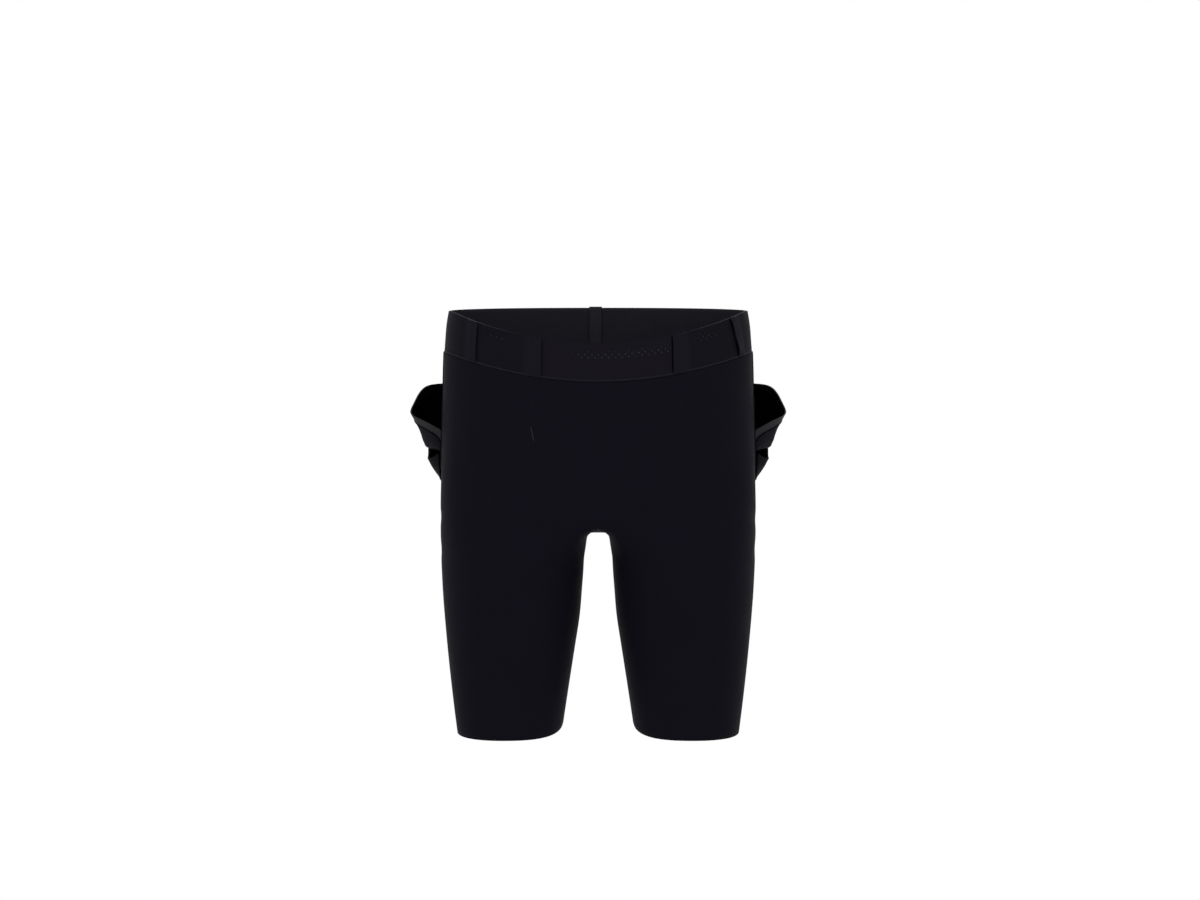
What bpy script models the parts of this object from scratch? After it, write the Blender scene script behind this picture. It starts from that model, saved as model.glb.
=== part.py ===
"""Running half tights, filled out as they are worn, with the opening at the waist up.

Lengths in this file are millimetres until a mesh is made. The origin is on the body's upright axis,
half way up the waistband at its sides. The front faces -Y, and +X is the wearer's left.
An angle of -90 degrees is the centre front, 0 the side and 90 the centre back of each half.
"""

import math

import bmesh
import bpy
import numpy as np

MM = 0.001

# Walls, and the gaps that part them
CLOTH = 1.4
BAND_BASE = 1.2
BAND_SKIN = 1.0
YOKE = 1.0
POCKET = 1.1
BINDING = 1.5
TAPE = 0.9
SEAM_GAP = 0.3
LAYER_GAP = 0.35

# Waistband: where its edges lie at the side, how far they dip in front and rise behind
BAND_TOP = 22.5
BAND_TOP_DIP = 39.3
BAND_SEAM = -22.55
BAND_SEAM_DIP = 34.5
BAND_BACK_RISE = 9.0
BAND_BACK_POWER = 0.85
BAND_STEPS = 3

# Turns round the waistband in degrees: its columns, and the laps between its outer panels
BAND_TURN = 6.0
WIDEST_TURN = 6.5
LEAST_TURN = 1.0
LAP = 3.4
LAP_FLAT = 4.2
LAP_RAMP = 7.0

# Where those panels lap, as turns from the centre front at the top edge and at the seam
SLIT_FAR_RIGHT = (-48.5, -48.5)
SLIT_RIGHT = (-18.6, -18.6)
SLIT_LEFT = (25.5, 25.5)
SLIT_FAR_LEFT = (57.2, 62.6)

# The tape inside the centre back
TAPE_WIDTH = 11.4
TAPE_MIDDLE = -1.6
TAPE_PROUD = 1.2

# The trunk, from the waist seam down to the fork, and the legs below it
SIDE_FORK = -165.0
FRONT_FORK = -212.0
BACK_FORK = -192.0
FORK_SPREAD = 60.0
LEG_START = -105.0
ROOF = -220.5
CLEAR = -262.0
GUSSET_HALF = 10.0
GUSSET_TAPER = 1.4
HALF_COLUMNS = 24
TRUNK_STEPS = 8
CROTCH_STEPS = 6
CROTCH_START = 0.7
LEG_STEPS = 7
INNER_COLUMNS = 8
SIDE_SEAM = 13
INSEAM = 3
FORK_TURN = 137.0
RELAX_REACH = 75.0
RELAX_LOW = -290.0
RELAX_HIGH = -170.0
RELAX_ROUNDS = 3
SQUARE = 2.25
SADDLE_SQUARE = 2.3
NORMAL_REACH = 0.5
LEAST_PULL = 0.4
SMOOTH_ANGLE = 50.0

TRUNK_FIELDS = ("height", "half_width", "front", "back")
TRUNK = (
    (34.0, 162.6, 97.5, 105.5),
    (22.5, 164.2, 98.5, 106.5),
    (12.6, 166.1, 99.5, 107.5),
    (-5.0, 167.7, 101.0, 110.0),
    (-22.5, 169.0, 102.3, 112.5),
    (-56.0, 169.9, 104.0, 118.5),
    (-100.0, 171.2, 105.0, 125.5),
    (-140.0, 172.1, 104.5, 128.5),
    (-165.0, 172.6, 102.5, 127.5),
    (-190.0, 173.1, 99.0, 124.0),
    (-212.0, 173.0, 94.5, 118.5),
    (-240.0, 172.5, 88.0, 111.0),
    (-262.0, 171.8, 83.0, 104.0),
)

LEG_FIELDS = ("height", "outer", "inner", "front", "back")
LEG = (
    (-165.0, 172.6, 13.0, 100.5, 122.0),
    (-196.0, 173.1, 13.2, 98.0, 118.0),
    (-240.0, 172.5, 14.1, 93.0, 109.0),
    (-284.0, 170.6, 16.6, 86.5, 98.5),
    (-317.0, 168.1, 21.0, 80.5, 90.0),
    (-361.0, 164.0, 27.8, 73.0, 80.5),
    (-405.0, 159.1, 34.6, 67.0, 73.0),
    (-446.0, 153.9, 40.7, 62.0, 67.5),
)

HEM_FIELDS = ("angle", "height")
HEM = (
    (-180.0, -428.5),
    (-168.0, -433.6),
    (-151.0, -438.4),
    (-125.0, -442.3),
    (-80.0, -444.0),
    (-35.0, -442.6),
    (0.0, -439.4),
    (50.0, -435.5),
    (100.0, -432.0),
    (140.0, -428.8),
    (180.0, -428.5),
)

# Hip pockets: the mouth of each runs from the side to the back and gapes away from the hip
POCKET_FIELDS = ("angle", "standoff", "height")
UPPER_MOUTH = (
    (1.5, 3.2, -109.5),
    (2.4, 11.0, -104.2),
    (4.2, 20.5, -99.4),
    (7.0, 32.5, -94.4),
    (10.0, 41.5, -88.6),
    (14.0, 42.2, -78.7),
    (18.0, 42.2, -67.8),
    (22.5, 41.5, -59.2),
    (28.0, 40.5, -55.8),
    (34.0, 34.5, -54.6),
    (40.5, 24.0, -54.8),
    (46.5, 12.0, -55.6),
    (52.0, 3.2, -57.5),
)
LOWER_MOUTH = (
    (1.5, 5.4, -134.5),
    (2.6, 9.6, -137.6),
    (4.6, 15.0, -139.4),
    (7.0, 18.4, -139.6),
    (10.0, 19.8, -137.6),
    (13.0, 20.2, -131.6),
    (16.5, 20.0, -126.6),
    (22.0, 19.6, -125.0),
    (29.0, 18.6, -124.6),
    (36.0, 16.6, -124.6),
    (42.0, 13.2, -125.2),
    (47.5, 9.2, -126.2),
    (52.0, 5.4, -128.0),
)

# How much of a pocket's gape is left, from its mouth down to its foot: the bag's floor turns inwards
SWING_FIELDS = ("share", "left")
UPPER_SWING = (
    (0.0, 1.0),
    (0.45, 0.71),
    (0.89, 0.42),
    (1.0, 0.0),
)
LOWER_SWING = (
    (0.0, 1.0),
    (0.45, 0.66),
    (0.8, 0.27),
    (1.0, 0.0),
)
YOKE_FIRST = 12
YOKE_LAST = 19
YOKE_END = -151.0
UPPER_END = -131.0
UPPER_FOOT = 2.8
LOWER_END = -163.4
LOWER_FOOT = 1.6
BINDING_WIDTH = 8.5
UPPER_STEPS = (0.25, 0.5, 0.7, 0.87, 0.94, 1.0)
LOWER_STEPS = (0.3, 0.65, 1.0)

# Colour, roughness
BLACK_JERSEY = ((0.0086, 0.0080, 0.0108), 0.74)
BAND_JERSEY = ((0.0108, 0.0100, 0.0132), 0.68)
MESH_CLOTH = ((0.0132, 0.0122, 0.0156), 0.78)
POCKET_CLOTH = ((0.0100, 0.0092, 0.0122), 0.72)
BOUND_EDGE = ((0.0190, 0.0178, 0.0212), 0.62)
TAPE_CLOTH = ((0.0150, 0.0142, 0.0178), 0.66)


def clear_scene():
    """Removes whatever the file already holds."""
    for thing in list(bpy.data.objects):
        bpy.data.objects.remove(thing, do_unlink=True)


def material(name, finish):
    """A plain cloth material of one colour and roughness."""
    made = bpy.data.materials.new(name)
    made.use_nodes = True
    shader = made.node_tree.nodes["Principled BSDF"]
    colour, roughness = finish
    shader.inputs["Base Color"].default_value = (*colour, 1.0)
    shader.inputs["Roughness"].default_value = roughness
    shader.inputs["Metallic"].default_value = 0.0
    made.diffuse_color = (*colour, 1.0)
    return made


def ease(share):
    """A share from 0 to 1 that starts and ends gently."""
    return share * share * (3.0 - 2.0 * share)


def follow(table, fields, key, value, at):
    """Reads one column of a table at any place along its key, on a smooth curve with no overshoot."""
    rows = sorted(table, key=lambda row: row[fields.index(key)])
    xs = np.array([row[fields.index(key)] for row in rows])
    ys = np.array([row[fields.index(value)] for row in rows])
    slopes = np.diff(ys) / np.diff(xs)
    tangents = np.concatenate(([slopes[0]], (slopes[:-1] + slopes[1:]) / 2.0, [slopes[-1]]))
    for i in range(1, len(xs) - 1):
        if slopes[i - 1] * slopes[i] <= 0.0:
            tangents[i] = 0.0
        else:
            limit = 3.0 * min(abs(slopes[i - 1]), abs(slopes[i]))
            tangents[i] = math.copysign(min(abs(tangents[i]), limit), tangents[i])
    at = min(max(at, xs[0]), xs[-1])
    i = min(int(np.searchsorted(xs, at, side="right")) - 1, len(xs) - 2)
    width = xs[i + 1] - xs[i]
    t = (at - xs[i]) / width
    return ((2 * t**3 - 3 * t**2 + 1) * ys[i] + (t**3 - 2 * t**2 + t) * width * tangents[i]
            + (3 * t**2 - 2 * t**3) * ys[i + 1] + (t**3 - t**2) * width * tangents[i + 1])


def oval(angle, square):
    """Cosine and sine of an angle in degrees, on an oval that is squarer than an ellipse."""
    c, s = math.cos(math.radians(angle)), math.sin(math.radians(angle))
    return (math.copysign(abs(c) ** (2.0 / square), c), math.copysign(abs(s) ** (2.0 / square), s))


def trunk_point(angle, height):
    """A point of the trunk's skin on the wearer's left half."""
    c, s = oval(angle, SQUARE)
    depth = follow(TRUNK, TRUNK_FIELDS, "height", "front" if s < 0.0 else "back", height)
    half_width = follow(TRUNK, TRUNK_FIELDS, "height", "half_width", height)
    return np.array((half_width * max(c, 0.0), depth * s, height))


def trunk_normal(angle, height):
    """The level direction straight out of the trunk's skin, on the wearer's left half."""
    half_width = follow(TRUNK, TRUNK_FIELDS, "height", "half_width", height)
    c, s = math.cos(math.radians(angle)), math.sin(math.radians(angle))
    depth = follow(TRUNK, TRUNK_FIELDS, "height", "front" if s < 0.0 else "back", height)
    power = 2.0 - 2.0 / SQUARE
    out = np.array((max(c, 0.0) ** power / half_width, math.copysign(abs(s) ** power, s) / depth, 0.0))
    return out / np.linalg.norm(out)


def leg_point(angle, height):
    """A point of the left leg's skin: 0 is its outer side, -90 its front, 180 its inner side."""
    outer = follow(LEG, LEG_FIELDS, "height", "outer", height)
    inner = follow(LEG, LEG_FIELDS, "height", "inner", height)
    c, s = oval(angle, SQUARE)
    depth = follow(LEG, LEG_FIELDS, "height", "front" if s < 0.0 else "back", height)
    return np.array(((outer + inner) / 2.0 + (outer - inner) / 2.0 * c, depth * s, height))


def fork_height(angle):
    """Where the trunk's columns hand over to the legs: lower at the centre front and back."""
    share = ease(max(abs(angle) - 90.0 + FORK_SPREAD, 0.0) / FORK_SPREAD)
    centre = FRONT_FORK if angle < 0.0 else BACK_FORK
    return SIDE_FORK + (centre - SIDE_FORK) * share


def hip_point(angle, height):
    """A point of the skin where the trunk turns into the left leg."""
    centre = FRONT_FORK if angle < 0.0 else BACK_FORK
    start = LEG_START + (centre - LEG_START) * ease(abs(angle) / 90.0)
    blend = ease(min(max((start - height) / (start - CLEAR), 0.0), 1.0))
    leg = leg_point(angle / 90.0 * FORK_TURN, height)
    return (1.0 - blend) * trunk_point(angle, height) + blend * leg


def hip_normal(angle, height):
    """The level direction straight out of the hip."""
    along = hip_point(angle + NORMAL_REACH, height) - hip_point(angle - NORMAL_REACH, height)
    out = np.array((along[1], -along[0], 0.0))
    return out / np.linalg.norm(out)


def band_share(angle):
    """How near the centre front or back a point of the trunk is: 0 at the side, 1 at the centre."""
    c, _ = oval(angle, SQUARE)
    return 1.0 - max(c, 0.0) ** 2


def edge_height(angle, side_height, dip):
    """Height of a waistband edge, which dips in front and rises behind."""
    if angle <= 0.0:
        return side_height - dip * band_share(angle)
    return side_height + BAND_BACK_RISE * math.sin(math.radians(angle)) ** BAND_BACK_POWER


def top_height(angle):
    return edge_height(angle, BAND_TOP, BAND_TOP_DIP)


def seam_height(angle):
    return edge_height(angle, BAND_SEAM, BAND_SEAM_DIP)


def turned(ring):
    """The same corners the other way round, from the same first corner, to keep a quad's diagonal."""
    return [ring[0], *reversed(ring[1:])]


class Skin:
    """The outer skin of the trunk and legs: shared points, and faces that know their panel."""

    def __init__(self):
        self.points = []
        self.index = {}
        self.faces = []

    def corner(self, point):
        key = tuple(round(float(value), 3) + 0.0 for value in point)
        if key not in self.index:
            self.index[key] = len(self.points)
            self.points.append(np.array(point, dtype=float))
        return self.index[key]

    def add(self, corners, panel):
        ids = [self.corner(point) for point in corners]
        ids = [v for k, v in enumerate(ids) if v != ids[k - 1]]
        if len(ids) >= 3:
            self.faces.append((tuple(ids), panel))

    def patch(self, grid, panel_of):
        """Adds a grid of points, and its mirror image on the wearer's right."""
        flip = np.array((-1.0, 1.0, 1.0))
        for r in range(len(grid) - 1):
            for c in range(len(grid[0]) - 1):
                quad = [grid[r][c], grid[r + 1][c], grid[r + 1][c + 1], grid[r][c + 1]]
                self.add(quad, panel_of(c, "left"))
                self.add([point * flip for point in turned(quad)], panel_of(c, "right"))

    def relax(self, chosen, rounds):
        """Moves chosen points half way to the mean of their neighbours, a few times over."""
        beside = {}
        for ids, _ in self.faces:
            for k, a in enumerate(ids):
                b = ids[(k + 1) % len(ids)]
                beside.setdefault(a, set()).add(b)
                beside.setdefault(b, set()).add(a)
        for _ in range(rounds):
            means = {v: np.mean([self.points[n] for n in sorted(beside[v])], axis=0) for v in chosen}
            for v, mean in means.items():
                self.points[v] = (self.points[v] + mean) / 2.0

    def normals(self):
        """The direction out of the skin at each point, shared by the panels that meet there."""
        total = np.zeros((len(self.points), 3))
        for ids, _ in self.faces:
            ring = [self.points[v] for v in ids]
            area = sum(np.cross(ring[k] - ring[0], ring[k + 1] - ring[0]) for k in range(1, len(ring) - 1))
            for v in ids:
                total[v] += area
        return total / np.linalg.norm(total, axis=1)[:, None]


def outer_panel(column, side):
    return "front_panel" if column < SIDE_SEAM else "back_panel_" + side


def inner_panel(column, side):
    return "back_panel_" + side if column < INSEAM else "front_panel"


def saddle_point(share):
    """The gusset's edge on the left leg, from the back fork through the roof to the front fork."""
    turn = 180.0 * share
    c, s = oval(turn, SADDLE_SQUARE)
    fork = trunk_point(90.0, BACK_FORK) if c >= 0.0 else trunk_point(-90.0, FRONT_FORK)
    depth = abs(fork[1])
    half = GUSSET_HALF * max(math.sin(math.radians(turn)), 0.0) ** GUSSET_TAPER
    return np.array((half, depth * c, fork[2] + (ROOF - fork[2]) * max(s, 0.0)))


def body_skin():
    """Builds the trunk, the legs and the gusset as one shared skin."""
    skin = Skin()
    angles = [-90.0 + 180.0 * j / HALF_COLUMNS for j in range(HALF_COLUMNS + 1)]

    trunk = []
    for r in range(TRUNK_STEPS + 1):
        row = []
        for angle in angles:
            top = seam_height(angle)
            row.append(hip_point(angle, top + (fork_height(angle) - top) * r / TRUNK_STEPS))
        trunk.append(row)
    skin.patch(trunk, outer_panel)

    turns = [angle / 90.0 * FORK_TURN for angle in angles]
    outer = [trunk[-1]]
    for r in range(1, CROTCH_STEPS + 1):
        share = r / CROTCH_STEPS
        outer.append([hip_point(angle, fork_height(angle) + (CLEAR - fork_height(angle)) * share)
                      for angle in angles])

    arc = [i / INNER_COLUMNS for i in range(INNER_COLUMNS + 1)]
    inner_turns = [FORK_TURN + (360.0 - 2.0 * FORK_TURN) * share for share in arc]
    inner = [[saddle_point(share) for share in arc]]
    for r in range(1, CROTCH_STEPS + 1):
        step = r / CROTCH_STEPS
        row = []
        for share, turn in zip(arc, inner_turns):
            # The arch between the legs is flat in front, and closes to a cleft towards the back fork
            middle = math.sin(math.pi * share)
            flat = middle if share < 0.5 else 1.0
            quarter = math.radians(90.0 * step ** CROTCH_START)
            spread = (1.0 - flat) * ease(step) + flat * math.sin(quarter)
            depth = (1.0 - middle) * ease(step) + middle * math.sin(quarter)
            fall = (1.0 - flat) * step + flat * (1.0 - math.cos(quarter))
            start, end = saddle_point(share), leg_point(turn, CLEAR)
            row.append(start + (end - start) * np.array((spread, depth, fall)))
        row[0] = outer[r][-1]
        outer[r][0] = row[-1]
        inner.append(row)

    for r in range(1, LEG_STEPS + 1):
        for rows, row_turns in ((outer, turns), (inner, inner_turns)):
            row = []
            for turn in row_turns:
                wrapped = (turn + 180.0) % 360.0 - 180.0
                hem = follow(HEM, HEM_FIELDS, "angle", "height", wrapped)
                row.append(leg_point(turn, CLEAR + (hem - CLEAR) * r / LEG_STEPS))
            rows.append(row)

    skin.patch(outer, outer_panel)
    skin.patch(inner, inner_panel)
    middle_line = [point * np.array((0.0, 1.0, 1.0)) for point in inner[0]]
    skin.patch([middle_line, inner[0]], lambda column, side: "gusset")

    held = {v for ids, panel in skin.faces if panel == "gusset" for v in ids}
    crotch = [v for v, point in enumerate(skin.points)
              if v not in held and abs(point[0]) < RELAX_REACH and RELAX_LOW < point[2] < RELAX_HIGH]
    skin.relax(crotch, RELAX_ROUNDS)
    return skin, trunk


def border_pull(points, faces, gap):
    """Moves the border of a set of faces into it by half a seam gap, within the faces' planes."""
    uses = {}
    for ids in faces:
        for k, a in enumerate(ids):
            uses.setdefault(frozenset((a, ids[(k + 1) % len(ids)])), []).append(ids)
    pulls = {}
    for edge, owners in uses.items():
        if len(owners) != 1:
            continue
        a, b = tuple(edge)
        along = points[b] - points[a]
        along /= np.linalg.norm(along)
        inward = np.mean([points[v] for v in owners[0]], axis=0) - (points[a] + points[b]) / 2.0
        inward -= along * inward.dot(along)
        inward /= np.linalg.norm(inward)
        pulls.setdefault(a, []).append(inward)
        pulls.setdefault(b, []).append(inward)
    moved = {v: np.array(points[v]) for ids in faces for v in ids}
    for v, ways in pulls.items():
        total = sum(ways)
        together = max(1.0 + ways[0].dot(ways[-1]), LEAST_PULL) if len(ways) > 1 else 1.0
        moved[v] = moved[v] + total * (gap / 2.0) / together
    return moved


def finish_object(name, outer, inner, faces, finish):
    """Makes one closed wall from its outer and inner points, and gives it its material."""
    mesh = bpy.data.meshes.new(name)
    shape = bmesh.new()
    out_verts = {v: shape.verts.new(point * MM) for v, point in outer.items()}
    in_verts = {v: shape.verts.new(point * MM) for v, point in inner.items()}
    edges = {}
    for ids in faces:
        shape.faces.new([out_verts[v] for v in ids])
        shape.faces.new([in_verts[v] for v in turned(ids)])
        for k, a in enumerate(ids):
            b = ids[(k + 1) % len(ids)]
            if (b, a) in edges:
                del edges[(b, a)]
            else:
                edges[(a, b)] = True
    for a, b in edges:
        # Panels that meet on an edge split its twisted wall on the same diagonal
        if a < b:
            shape.faces.new((out_verts[b], out_verts[a], in_verts[b]))
            shape.faces.new((out_verts[a], in_verts[a], in_verts[b]))
        else:
            shape.faces.new((out_verts[b], out_verts[a], in_verts[a]))
            shape.faces.new((out_verts[b], in_verts[a], in_verts[b]))
    shape.normal_update()
    shape.to_mesh(mesh)
    shape.free()
    mesh.shade_smooth()
    mesh.set_sharp_from_angle(angle=math.radians(SMOOTH_ANGLE))
    made = bpy.data.objects.new(name, mesh)
    bpy.context.scene.collection.objects.link(made)
    made.data.materials.append(material(name, finish))
    return made


def body_panel(name, skin, normals, finish):
    """One cut panel of the trunk and legs, as a wall inside the shared skin."""
    faces = [ids for ids, panel in skin.faces if panel == name]
    outer = border_pull(skin.points, faces, SEAM_GAP)
    inner = {v: point - normals[v] * CLOTH for v, point in outer.items()}
    return finish_object(name, outer, inner, faces, finish)


def sheet_wall(name, grid, out, thickness, finish, closed=False, mirror=False):
    """A wall from a grid of points and the directions out of it, with the grid on its outer side."""
    rows, columns = len(grid), len(grid[0])
    flip = np.array((-1.0, 1.0, 1.0)) if mirror else np.ones(3)
    outer, inner, faces = {}, {}, []
    for r in range(rows):
        for c in range(columns):
            outer[r * columns + c] = grid[r][c] * flip
            inner[r * columns + c] = (grid[r][c] - out[r][c] * thickness) * flip
    for r in range(rows - 1):
        for c in range(columns if closed else columns - 1):
            here, beside = r * columns + c, r * columns + (c + 1) % columns
            ids = (here, here + columns, beside + columns, beside)
            faces.append(tuple(turned(ids)) if mirror else ids)
    return finish_object(name, outer, inner, faces, finish)


def ring_place(turn, share, standoff):
    """A point of the waistband and its direction out, at a turn from the centre front in degrees.

    The share is 0 at the top edge and 1 at the seam. The ring is read between its set columns, so
    that every layer of the band has its facets over the next one's.
    """
    def column(step):
        bearing = (step * BAND_TURN + 180.0) % 360.0 - 180.0
        angle = abs(bearing) - 90.0
        low = seam_height(angle) + SEAM_GAP / 2.0
        height = top_height(angle) + (low - top_height(angle)) * share
        side = np.array((math.copysign(1.0, bearing), 1.0, 1.0))
        out = trunk_normal(angle, height) * side
        return trunk_point(angle, height) * side + out * standoff, out

    step = math.floor(turn / BAND_TURN)
    part = turn / BAND_TURN - step
    (near, near_out), (far, far_out) = column(step), column(step + 1)
    return near + (far - near) * part, near_out + (far_out - near_out) * part


def band_base():
    """The inner ring of the waistband."""
    count = round(360.0 / BAND_TURN)
    below = -(BAND_SKIN + LAYER_GAP)
    grid, out = [], []
    for r in range(BAND_STEPS + 1):
        places = [ring_place(k * BAND_TURN, r / BAND_STEPS, below) for k in range(count)]
        grid.append([place[0] for place in places])
        out.append([place[1] for place in places])
    sheet_wall("waistband_base", grid, out, BAND_BASE, BAND_JERSEY, closed=True)


def band_panel(name, start, end, finish, laps_start=False, laps_end=False):
    """An outer panel of the waistband. Start and end give its edges' turns at the top and the seam.

    A panel that laps has that edge raised by one layer, over the tail of its neighbour.
    """
    raised = BAND_SKIN + LAYER_GAP
    first = math.floor(max(start) / BAND_TURN) + 1
    last = math.ceil(min(end) / BAND_TURN) - 1
    columns = [(k * BAND_TURN, k * BAND_TURN, 0.0) for k in range(first, last + 1)]
    if laps_start:
        columns = [c for c in columns if c[0] > max(start) + LAP_RAMP + LEAST_TURN]
        columns = [(start[0] + more, start[1] + more, lift)
                   for more, lift in ((0.0, raised), (LAP_FLAT, raised), (LAP_RAMP, 0.0))] + columns
    else:
        columns = [(start[0], start[1], 0.0)] + [c for c in columns if c[0] > max(start) + LEAST_TURN]
    if laps_end:
        columns = [c for c in columns if c[0] < min(end) - LAP_RAMP - LEAST_TURN]
        columns += [(end[0] - less, end[1] - less, lift)
                    for less, lift in ((LAP_RAMP, 0.0), (LAP_FLAT, raised), (0.0, raised))]
    else:
        columns = [c for c in columns if c[0] < min(end) - LEAST_TURN] + [(end[0], end[1], 0.0)]
    for k in range(len(columns) - 1, 0, -1):
        near, far = columns[k - 1], columns[k]
        if max(far[0] - near[0], far[1] - near[1]) > WIDEST_TURN:
            columns.insert(k, tuple((a + b) / 2.0 for a, b in zip(near, far)))
    grid, out = [], []
    for r in range(BAND_STEPS + 1):
        share = r / BAND_STEPS
        places = [ring_place(top + (low - top) * share, share, lift) for top, low, lift in columns]
        grid.append([place[0] for place in places])
        out.append([place[1] for place in places])
    return sheet_wall(name, grid, out, BAND_SKIN, finish)


def shifted(slit, turn):
    return (slit[0] + turn, slit[1] + turn)


def waistband():
    """The ring, the five panels that lap over it, and the tape inside the centre back."""
    band_base()
    half_width = follow(TRUNK, TRUNK_FIELDS, "height", "half_width", BAND_TOP)
    half_seam = math.degrees(SEAM_GAP / 2.0 / half_width)
    back = 180.0 - half_seam
    band_panel("waistband_centre", shifted(SLIT_RIGHT, -LAP), shifted(SLIT_LEFT, LAP), MESH_CLOTH)
    band_panel("waistband_front_right", shifted(SLIT_FAR_RIGHT, -LAP), SLIT_RIGHT, BAND_JERSEY,
               laps_end=True)
    band_panel("waistband_front_left", SLIT_LEFT, shifted(SLIT_FAR_LEFT, LAP), BAND_JERSEY,
               laps_start=True)
    band_panel("waistband_side_right", (-back, -back), SLIT_FAR_RIGHT, BAND_JERSEY, laps_end=True)
    band_panel("waistband_side_left", SLIT_FAR_LEFT, (back, back), BAND_JERSEY, laps_start=True)

    depth = follow(TRUNK, TRUNK_FIELDS, "height", "back", BAND_TOP)
    half_turn = math.degrees(TAPE_WIDTH / 2.0 / half_width)
    middle = 180.0 - math.degrees(TAPE_MIDDLE / depth)
    below = -(BAND_SKIN + BAND_BASE + 2.0 * LAYER_GAP)
    grid, out = [], []
    for r in range(BAND_STEPS + 1):
        places = [ring_place(middle + k * half_turn, r / BAND_STEPS, below) for k in (-1.0, 1.0)]
        row = [place[0] for place in places]
        if r == 0:
            row = [point + np.array((0.0, 0.0, TAPE_PROUD)) for point in row]
        grid.append(row)
        out.append([place[1] for place in places])
    sheet_wall("centre_back_tape", grid, out, TAPE, TAPE_CLOTH)


def yoke(side, trunk):
    """The layer that backs the hip pockets, on the trunk's own points."""
    mirror = side == "right"
    standoff = LAYER_GAP + YOKE
    grid, out = [], []
    for r in range(TRUNK_STEPS + 1):
        row, row_out = [], []
        for j in range(YOKE_FIRST, YOKE_LAST + 1):
            point = np.array(trunk[r][j])
            if r == TRUNK_STEPS:
                above = trunk[r - 1][j]
                point = above + (point - above) * (above[2] - YOKE_END) / (above[2] - point[2])
            elif r == 0:
                point = point - np.array((0.0, 0.0, SEAM_GAP / 2.0))
            angle = -90.0 + 180.0 * j / HALF_COLUMNS
            direction = hip_normal(angle, point[2])
            row.append(point + direction * standoff)
            row_out.append(direction)
        grid.append(row)
        out.append(row_out)
    sheet_wall("pocket_yoke_" + side, grid, out, YOKE, POCKET_CLOTH, mirror=mirror)


def pocket(name, side, mouth, swings, foot, end, steps):
    """A hip pocket that gapes at its mouth, and the binding along that mouth."""
    mirror = side == "right"
    fields = [dict(zip(POCKET_FIELDS, row)) for row in mouth]
    corner = fields[0]["standoff"]
    bound, bound_out = [[], []], [[], []]
    cloth, cloth_out = [[[] for _ in range(len(steps) + 1)] for _ in range(2)]

    def place(column, share):
        base = foot + (corner - foot) * (1.0 - share)
        swing = (column["standoff"] - corner) * follow(swings, SWING_FIELDS, "share", "left", share)
        height = column["height"] + (end - column["height"]) * share
        out = hip_normal(column["angle"], height)
        return hip_point(column["angle"], height) + out * (base + swing), out

    for column in fields:
        drop = column["height"] - end
        edge = BINDING_WIDTH / drop
        gap = SEAM_GAP / drop
        for r, share in enumerate((0.0, edge)):
            point, out = place(column, share)
            bound[r].append(point)
            bound_out[r].append(out)
        for r, share in enumerate((0.0,) + steps):
            point, out = place(column, edge + gap + (1.0 - edge - gap) * share)
            cloth[r].append(point)
            cloth_out[r].append(out)
    sheet_wall(f"{name}_binding_{side}", bound, bound_out, BINDING, BOUND_EDGE, mirror=mirror)
    sheet_wall(f"{name}_{side}", cloth, cloth_out, POCKET, POCKET_CLOTH, mirror=mirror)


def main():
    clear_scene()
    skin, trunk = body_skin()
    normals = skin.normals()
    for panel in ("front_panel", "back_panel_left", "back_panel_right", "gusset"):
        body_panel(panel, skin, normals, BLACK_JERSEY)
    waistband()
    for side in ("left", "right"):
        yoke(side, trunk)
        pocket("upper_pocket", side, UPPER_MOUTH, UPPER_SWING, UPPER_FOOT, UPPER_END, UPPER_STEPS)
        pocket("lower_pocket", side, LOWER_MOUTH, LOWER_SWING, LOWER_FOOT, LOWER_END, LOWER_STEPS)


main()
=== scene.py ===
"""Running half tights, finished: smooth cloth, laps, perforations, seams, stitching and a plain stage.

Lengths are metres. The front faces -Y, +X is the wearer's left, and the origin is the middle of the
waist. A turn is measured round the waist in degrees, from the centre front towards the wearer's left.
"""

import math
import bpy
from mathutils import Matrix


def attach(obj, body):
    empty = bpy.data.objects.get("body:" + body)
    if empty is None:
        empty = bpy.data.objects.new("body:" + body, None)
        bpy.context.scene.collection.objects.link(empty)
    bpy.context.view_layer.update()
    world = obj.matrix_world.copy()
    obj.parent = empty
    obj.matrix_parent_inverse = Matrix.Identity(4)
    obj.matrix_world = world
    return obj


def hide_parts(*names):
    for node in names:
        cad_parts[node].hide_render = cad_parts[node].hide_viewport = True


bl_info = {
    "name": "Running Half Tights",
    "version": (1, 0, 0),
    "blender": (4, 5, 0),
    "location": "3D View > Sidebar > Half Tights",
    "description": "Cloth, seams and stage for a pair of running half tights",
    "category": "Object",
}

import bmesh
import bpy
import numpy as np
from bpy.props import FloatProperty, FloatVectorProperty, IntProperty, PointerProperty
from mathutils import Matrix, Vector
from mathutils.bvhtree import BVHTree
from mathutils.kdtree import KDTree

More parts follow.
